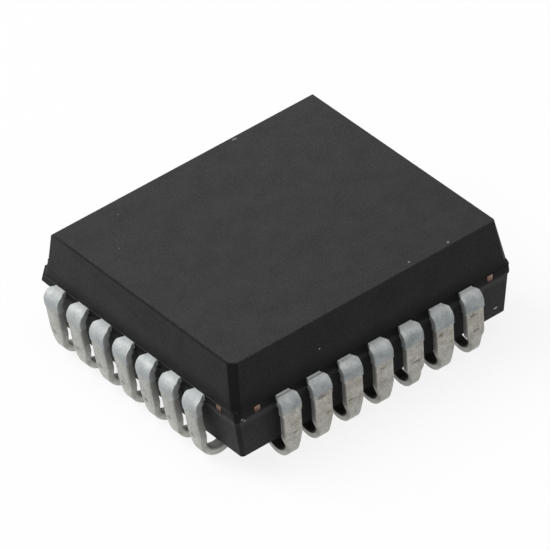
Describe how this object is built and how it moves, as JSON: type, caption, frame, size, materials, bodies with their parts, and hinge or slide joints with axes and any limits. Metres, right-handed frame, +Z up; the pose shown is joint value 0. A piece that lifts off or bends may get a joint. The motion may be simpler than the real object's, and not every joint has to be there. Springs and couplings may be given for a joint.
{
  "type": "plcc chip",
  "caption": "Square moulded chip carrier with flat J-shaped leads curled under all four sides, a bevelled index edge and a cut index corner, for soldering to a board or pressing into a socket.",
  "frame": {"origin": "on the seating plane under the middle of the package, the bottom centre of its bounding box", "axes": "+Z up out of the top face; +Y towards the side with the bevelled top edge, whose middle lead is pin 1; the cut index corner is at -X +Y"},
  "size_m": [0.0124, 0.0124, 0.0045],
  "materials": {
    "mould_compound": "matte moulded epoxy",
    "tinned_lead": "dull tin plate",
    "leadframe_copper": "bare copper alloy",
    "attach_epoxy": "silver-filled epoxy",
    "silicon": "polished silicon",
    "gold_wire": "gold"
  },
  "bodies": {
    "root": {"body": "mould_compound", "lead_01": "tinned_lead", "lead_02": "tinned_lead", "lead_03": "tinned_lead", "lead_04": "tinned_lead", "lead_05": "tinned_lead", "lead_06": "tinned_lead", "lead_07": "tinned_lead", "lead_08": "tinned_lead", "lead_09": "tinned_lead", "lead_10": "tinned_lead", "lead_11": "tinned_lead", "lead_12": "tinned_lead", "lead_13": "tinned_lead", "lead_14": "tinned_lead", "lead_15": "tinned_lead", "lead_16": "tinned_lead", "lead_17": "tinned_lead", "lead_18": "tinned_lead", "lead_19": "tinned_lead", "lead_20": "tinned_lead", "lead_21": "tinned_lead", "lead_22": "tinned_lead", "lead_23": "tinned_lead", "lead_24": "tinned_lead", "lead_25": "tinned_lead", "lead_26": "tinned_lead", "lead_27": "tinned_lead", "lead_28": "tinned_lead", "die_paddle": "leadframe_copper", "die_attach": "attach_epoxy", "die": "silicon", "bond_wires": "gold_wire"}
  },
  "joints": []
}
